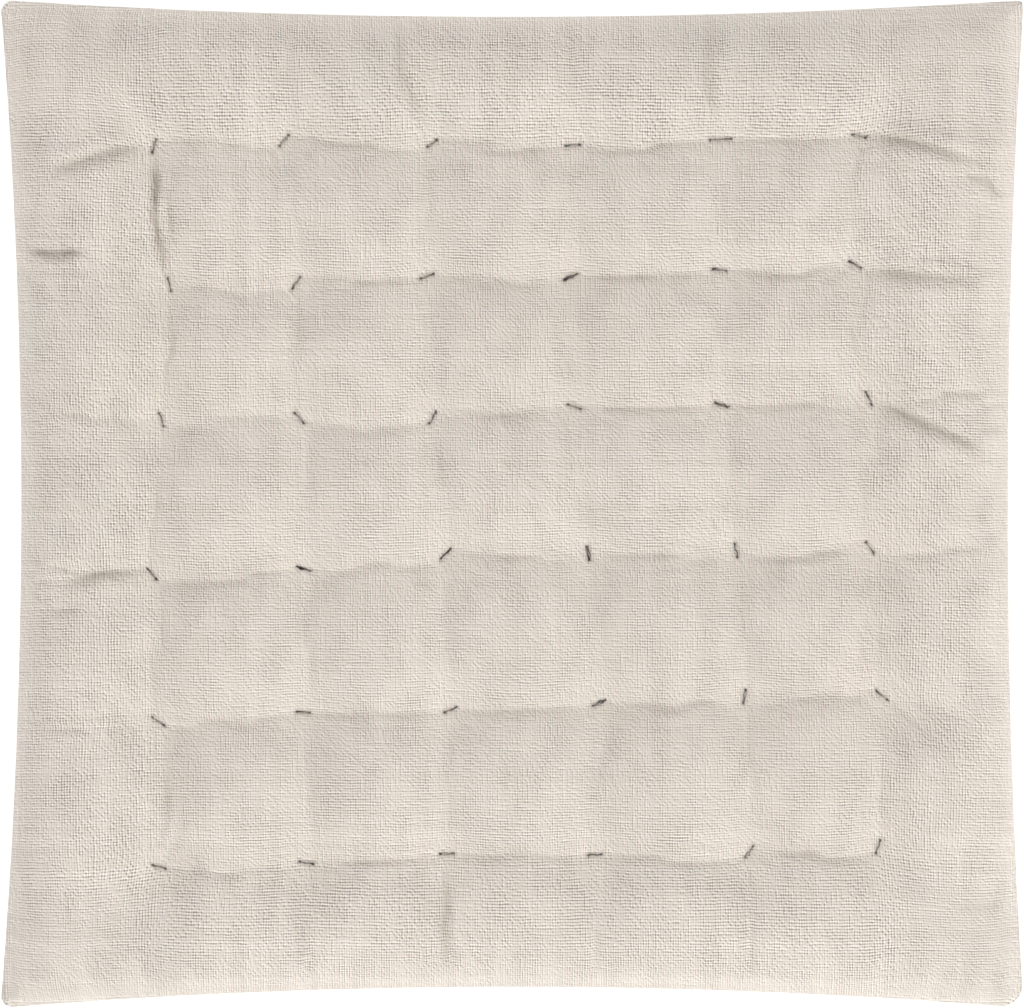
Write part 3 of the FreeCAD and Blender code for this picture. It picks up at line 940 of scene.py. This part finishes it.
def cover_material():
    """Plain weave: warp and weft cross over and under, with slubs, an uneven gap where each four crossings
    meet, and soft mottling. Painted shade darkens the low threads, each gap, the folds and the needle holes.
    """
    n = Nodes("plain_weave_cloth")
    uv = n.node("UVMap", uv_map="cloth").outputs["UV"]
    place = n.object_place()
    metres = n.node("SeparateXYZ", {0: uv})
    waver_x = n.math("MULTIPLY_ADD", n.noise(uv, 210.0, 1.0), 0.6, -0.3)
    waver_y = n.math("MULTIPLY_ADD", n.noise(place, 190.0, 1.0), 0.6, -0.3)
    across = n.math("MULTIPLY_ADD", metres.outputs[0], 1 / WARP_PITCH, waver_x)
    along = n.math("MULTIPLY_ADD", metres.outputs[1], 1 / WEFT_PITCH, waver_y)
    warp = n.math("FLOOR", across)
    weft = n.math("FLOOR", along)
    warp_random = n.random(warp)
    weft_random = n.random(n.math("ADD", weft, 0.37))
    from_warp = n.math("ABSOLUTE", n.math("MULTIPLY_ADD", n.math("FRACT", across), 2.0, -1.0))
    from_weft = n.math("ABSOLUTE", n.math("MULTIPLY_ADD", n.math("FRACT", along), 2.0, -1.0))

    # A thread's width wanders along it, more for some threads than others
    openness = n.ramp(n.noise(uv, 95.0, 4.0, 0.7), 0.36, 0.66, 0.0, 0.10)
    slub_warp = n.noise(n.pair(n.math("MULTIPLY", warp, 7.7), n.math("MULTIPLY", along, 0.16)), 1.0, 2.0)
    slub_weft = n.noise(n.pair(n.math("MULTIPLY", across, 0.13), n.math("MULTIPLY", weft, 5.3)), 1.0, 2.0)
    wide_warp = n.math("SUBTRACT", n.ramp(slub_warp, 0.3, 0.7, 0.72, 1.02, False), openness)
    wide_weft = n.math("SUBTRACT", n.ramp(slub_weft, 0.3, 0.7, 0.76, 1.04, False), openness)

    over = n.math("MULTIPLY_ADD", n.math("PINGPONG", n.math("ADD", warp, weft), 1.0), -2.0, 1.0)
    rise_warp = n.math("MULTIPLY", over, n.math("COSINE", n.math("MULTIPLY", from_weft, math.pi / 2)))
    rise_weft = n.math("MULTIPLY", over, n.math("COSINE", n.math("MULTIPLY", from_warp, math.pi / 2)))
    round_warp = round_of(n, from_warp, wide_warp)
    round_weft = round_of(n, from_weft, wide_weft)
    height_warp = n.math("MULTIPLY", round_warp, n.math("MULTIPLY_ADD", rise_warp, 0.42, 0.58))
    height_weft = n.math("MULTIPLY", round_weft, n.math("MULTIPLY_ADD", rise_weft, -0.42, 0.58))
    height = n.math("MAXIMUM", height_warp, height_weft)
    warp_shows = n.math("GREATER_THAN", height_warp, height_weft)

    tint = n.math("ADD", n.math("MULTIPLY", warp_shows, warp_random),
                  n.math("MULTIPLY", n.math("SUBTRACT", 1.0, warp_shows), weft_random))
    slub = n.math("ADD", n.math("MULTIPLY", warp_shows, slub_warp),
                  n.math("MULTIPLY", n.math("SUBTRACT", 1.0, warp_shows), slub_weft))
    colour = n.mix(tint, FLAX, PALE)
    colour = n.mix(n.math("MULTIPLY", n.ramp(slub, 0.55, 0.78), 0.30), colour, SLUB)
    colour = n.mix(n.ramp(n.noise(place, 17.0, 3.0), 0.46, 0.72, 0.0, 0.30), colour, COOL)
    colour = n.mix(n.ramp(n.noise(place, 11.0, 2.0, 0.4), 0.50, 0.75, 0.0, 0.28), colour, ROSE)
    colour = n.mix(n.ramp(n.noise(uv, 900.0, 2.0), 0.62, 0.80, 0.0, 0.22), colour, SLUB)
    colour = n.scaled(colour, n.ramp(n.random_pair(warp, weft), 0.0, 1.0, 0.90, 1.09, False))
    colour = n.mix(n.ramp(height, 0.15, 0.98, 0.05, 0.0, False), colour, SHADE)
    colour = n.mix(n.ramp(from_warp, 0.55, 1.0, 0.0, 0.06, False), colour, SHADE)
    # Painted shade in the gap where four crossings meet
    colour = n.mix(gap_shade(n, across, along, from_warp, from_weft), colour, GAP_SHADE)
    fold = n.node("Attribute", attribute_name="fold_shade").outputs["Fac"]
    colour = n.mix(n.math("MULTIPLY", fold, 0.55), colour, FOLD_SHADE)
    # Painted shade in the needle holes and on the cloth drawn together round each stitch
    colour = n.mix(hole_shade(n), colour, GAP_SHADE)
    n.put(n.shader.inputs["Base Color"], colour)
    fibres = n.noise(uv, 2600.0, 2.0)
    weave = n.bump(n.math("MULTIPLY_ADD", fibres, 0.15, height), 0.14 * MM, 0.10)
    n.put(n.shader.inputs["Normal"], weave)
    n.put(n.shader.inputs["Roughness"], n.ramp(height, 0.0, 1.0, 0.97, 0.86))
    n.shader.inputs["Specular IOR Level"].default_value = 0.18
    n.shader.inputs["Sheen Weight"].default_value = 0.12
    n.shader.inputs["Sheen Roughness"].default_value = 0.6
    n.shader.inputs["Sheen Tint"].default_value = (1.0, 0.97, 0.92, 1.0)
    return n.material


def near_tuft(n, near, far):
    """0 beside a stitch, where the cloth is drawn together, and 1 away from it."""
    along, across, _ = n.tuft_place()
    return n.ramp(n.length(along, across), near, far, 0.0, 1.0)


def gap_shade(n, across, along, from_warp, from_weft):
    """The mask of painted shade in the small gap where four crossings meet. Each gap has its own size, and
    some are closed.
    """
    corner_x = n.math("ROUND", across)
    corner_y = n.math("ROUND", along)
    own = n.random_pair(corner_x, corner_y)
    stretched = n.pair(n.math("MULTIPLY", corner_x, 0.09), n.math("MULTIPLY", corner_y, 0.05))
    streaks = n.noise(stretched, 1.0, 3.0, 0.6)
    open_here = n.math("MULTIPLY", n.ramp(streaks, 0.35, 0.65), near_tuft(n, 4.0 * MM, 15.0 * MM))
    size = n.math("ADD", n.math("MULTIPLY", own, 0.74), n.math("MULTIPLY", open_here, 0.26))
    away = n.length(n.math("SUBTRACT", 1.0, from_warp), n.math("SUBTRACT", 1.0, from_weft))
    reach = n.ramp(size, 0.0, 1.0, GAP_SMALL, GAP_LARGE, False)
    seam = n.node("Attribute", attribute_name="seam_distance").outputs["Fac"]
    reach = n.math("MULTIPLY", reach, n.ramp(seam, 1 * MM, 10 * MM, 0.7, 1.0))
    return n.ramp(n.math("DIVIDE", away, reach), 0.75, 1.1, 0.97, 0.0)


def round_of(n, distance, width):
    """A thread's round cross section, from 1 on its middle line to 0 where its width ends."""
    share = n.math("DIVIDE", distance, width)
    rest = n.math("SUBTRACT", 1.0, n.math("MULTIPLY", share, share))
    return n.math("SQRT", n.math("MAXIMUM", rest, 0.0))


def hole_shade(n):
    """Painted shade in the needle holes at both ends of each stitch, and on the cloth that it draws together.
    """
    along, across, half = n.tuft_place()
    to_hole = n.math("SUBTRACT", n.math("ABSOLUTE", along), half)
    wander = n.math("MULTIPLY_ADD", n.noise(n.object_place(), 900.0, 1.0), 0.8 * MM, -0.4 * MM)
    hole = n.length(to_hole, across)
    dark = n.ramp(n.math("ADD", hole, wander), 0.25 * MM, 0.85 * MM, 0.95, 0.0)
    close = n.length(n.math("MAXIMUM", to_hole, 0.0), across)
    drawn = n.ramp(n.math("ADD", close, wander), 0.2 * MM, 2.2 * MM, 0.22, 0.0)
    return n.math("MAXIMUM", dark, drawn)


def thread_material(name, dark, light, fuzz):
    """Spun thread: plies of lighter and darker fibres, with a soft fibrous surface."""
    n = Nodes(name)
    place = n.object_place()
    patches = n.ramp(n.noise(place, 420.0, 3.0), 0.35, 0.68)
    colour = n.mix(patches, dark, light)
    fibres = n.noise(place, 4200.0, 3.0, 0.7)
    colour = n.scaled(colour, n.ramp(fibres, 0.25, 0.75, 0.72, 1.2, False))
    n.put(n.shader.inputs["Base Color"], colour)
    n.put(n.shader.inputs["Roughness"], n.ramp(fibres, 0.2, 0.8, 0.72, 0.92))
    n.put(n.shader.inputs["Normal"], n.bump(fibres, fuzz, 0.7))
    n.shader.inputs["Specular IOR Level"].default_value = 0.25
    n.shader.inputs["Sheen Weight"].default_value = 0.10
    return n.material


def wadding_material():
    """White needled fibre: matted strands over soft lumps."""
    n = Nodes("fibre_wadding")
    place = n.object_place()
    lumps = n.noise(place, 90.0, 4.0, 0.6)
    stretched = n.node("Mapping", {"Vector": place, "Scale": (1.0, 6.0, 3.0)}).outputs[0]
    matted = n.noise(stretched, 480.0, 4.0, 0.7)
    colour = n.mix(n.ramp(lumps, 0.3, 0.7), (0.72, 0.71, 0.68, 1.0), (0.90, 0.89, 0.87, 1.0))
    colour = n.scaled(colour, n.ramp(matted, 0.2, 0.8, 0.86, 1.06, False))
    n.put(n.shader.inputs["Base Color"], colour)
    n.put(n.shader.inputs["Roughness"], n.ramp(matted, 0.2, 0.8, 0.88, 0.98))
    n.put(n.shader.inputs["Normal"], n.bump(n.math("ADD", lumps, matted), 0.8 * MM, 0.8))
    n.shader.inputs["Specular IOR Level"].default_value = 0.15
    n.shader.inputs["Sheen Weight"].default_value = 0.2
    return n.material


def floor_material():
    n = Nodes("pale_floor")
    tone = n.noise(n.object_place(), 6.0, 2.0)
    colour = n.mix(tone, (0.93, 0.93, 0.93, 1.0), (0.96, 0.96, 0.96, 1.0))
    n.put(n.shader.inputs["Base Color"], colour)
    n.put(n.shader.inputs["Roughness"], n.ramp(tone, 0.2, 0.8, 0.75, 0.85))
    n.shader.inputs["Emission Color"].default_value = (1.0, 1.0, 1.0, 1.0)
    n.shader.inputs["Emission Strength"].default_value = 0.35
    return n.material


def paint(made, material):
    """Gives every face of a piece this material."""
    made.data.materials.clear()
    made.data.materials.append(material)
    for polygon in made.data.polygons:
        polygon.material_index = 0


# ---------------------------------------------------------------- the stage

LENS = 200.0
SENSOR = 36.0
VIEW_WIDTH = 0.4004

# Each light's name, place, size, power and colour
LIGHTS = (
    ("key", (1.25, -1.8, 1.5), 1.0, 23.0, (1.0, 0.985, 0.96)),
    ("fill", (-0.5, 0.4, 2.7), 2.2, 17.0, (0.98, 0.99, 1.0)),
)
SKY_COLOUR = (1.0, 0.993, 0.975, 1.0)
SKY_STRENGTH = 0.60
FLOOR_REACH = 3.0
FLOOR_DROP = 0.5 * MM


def add_camera():
    camera = bpy.data.objects.new("camera", bpy.data.cameras.new("camera"))
    camera.data.lens = LENS
    camera.data.sensor_width = SENSOR
    camera.data.clip_end = 50.0
    camera.location = (0.0, 0.0, SEAM_Z + LENS / SENSOR * VIEW_WIDTH)
    bpy.context.scene.collection.objects.link(camera)
    bpy.context.scene.camera = camera


def add_light(name, place, size, power, colour):
    light = bpy.data.lights.new(name, "AREA")
    light.shape = "DISK"
    light.size = size
    light.energy = power
    light.color = colour
    made = bpy.data.objects.new(name, light)
    made.location = place
    made.rotation_euler = (Vector((0, 0, SEAM_Z)) - Vector(place)).to_track_quat("-Z", "Y").to_euler()
    bpy.context.scene.collection.objects.link(made)


def add_stage():
    turns = ((-1, -1), (1, -1), (1, 1), (-1, 1))
    points = [(x * FLOOR_REACH, y * FLOOR_REACH, -FLOOR_DROP) for x, y in turns]
    floor = new_object("floor", points, [(0, 1, 2, 3)])
    paint(floor, floor_material())
    for light in LIGHTS:
        add_light(*light)
    world = bpy.data.worlds.new("studio")
    world.use_nodes = True
    sky = world.node_tree.nodes["Background"]
    sky.inputs["Color"].default_value = SKY_COLOUR
    sky.inputs["Strength"].default_value = SKY_STRENGTH
    bpy.context.scene.world = world
    bpy.context.scene.view_settings.view_transform = "Standard"


# ---------------------------------------------------------------- the pad

plan = pad_grid()
flat = flat_cloth(plan, SLACK_CORNER, SLACK_BORDER)
nearest_stitch = stitch_field(plan)
pinned = nearest_stitch < PINNED
pinned[[0, -1], :] = True
pinned[:, [0, -1]] = True
corners = corner_share(plan)
sides = {}
for side, seed in zip((1, -1), CLOTH_SEEDS):
    heights = cad_heights(plan, side)
    settled = plan
    settled, heights = settle(plan, flat, heights, pinned, seed)
    eased = [smoother(field, 0.8 * corners, 6) for field in (settled[:, :, 0], settled[:, :, 1], heights)]
    for field, kept in zip(eased, (settled[:, :, 0], settled[:, :, 1], heights)):
        field[pinned] = kept[pinned]
    sides[side] = finer(np.dstack(eased[:2])), finer(eased[2])

weave_places = finer(flat_cloth(plan, SLACK_SEAM, WEAVE_BORDER))
top_plan, top_heights = sides[1]
top_plan = sagged(top_plan, SAG)
top_heights = creased(top_plan, top_heights, 0, *ROW_CREASE)
top_heights = creased(top_plan, top_heights, 1, *COLUMN_CREASE)
top_heights, fold_shade = fold_over(top_plan, top_heights)
top_heights = sewn_edge(top_plan, top_heights, GATHER_SEEDS[0])
under_plan, under_heights = sides[-1]
under_heights = sewn_edge(under_plan, under_heights, GATHER_SEEDS[1])
under_heights = rested(under_heights)

cover_cloth = cover_material()
top_cover = cover_panel("top_cover_cloth", top_plan, weave_places, top_heights, 1, fold_shade)
unfolded = np.zeros(under_heights.shape)
under_cover = cover_panel("bottom_cover_cloth", under_plan, weave_places, under_heights, -1, unfolded)
for cover in (top_cover, under_cover):
    paint(cover, cover_cloth)

fibre = wadding_material()
for layer in wadding_layers():
    paint(layer, fibre)

tuft_thread = thread_material("tuft_thread", (0.030, 0.026, 0.024, 1.0), (0.26, 0.22, 0.18, 1.0), 0.08 * MM)
for row in stitches:
    for stitch in row:
        paint(tie(stitch, 2 * SEAM_Z - stitch.level), tuft_thread)

seam_thread = thread_material("seam_thread", (0.55, 0.49, 0.41, 1.0), (0.74, 0.68, 0.60, 1.0), 0.05 * MM)
for node in ("seam_needle_thread", "seam_bobbin_thread", "closing_stitches"):
    paint(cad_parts[node], seam_thread)

add_stage()
add_camera()
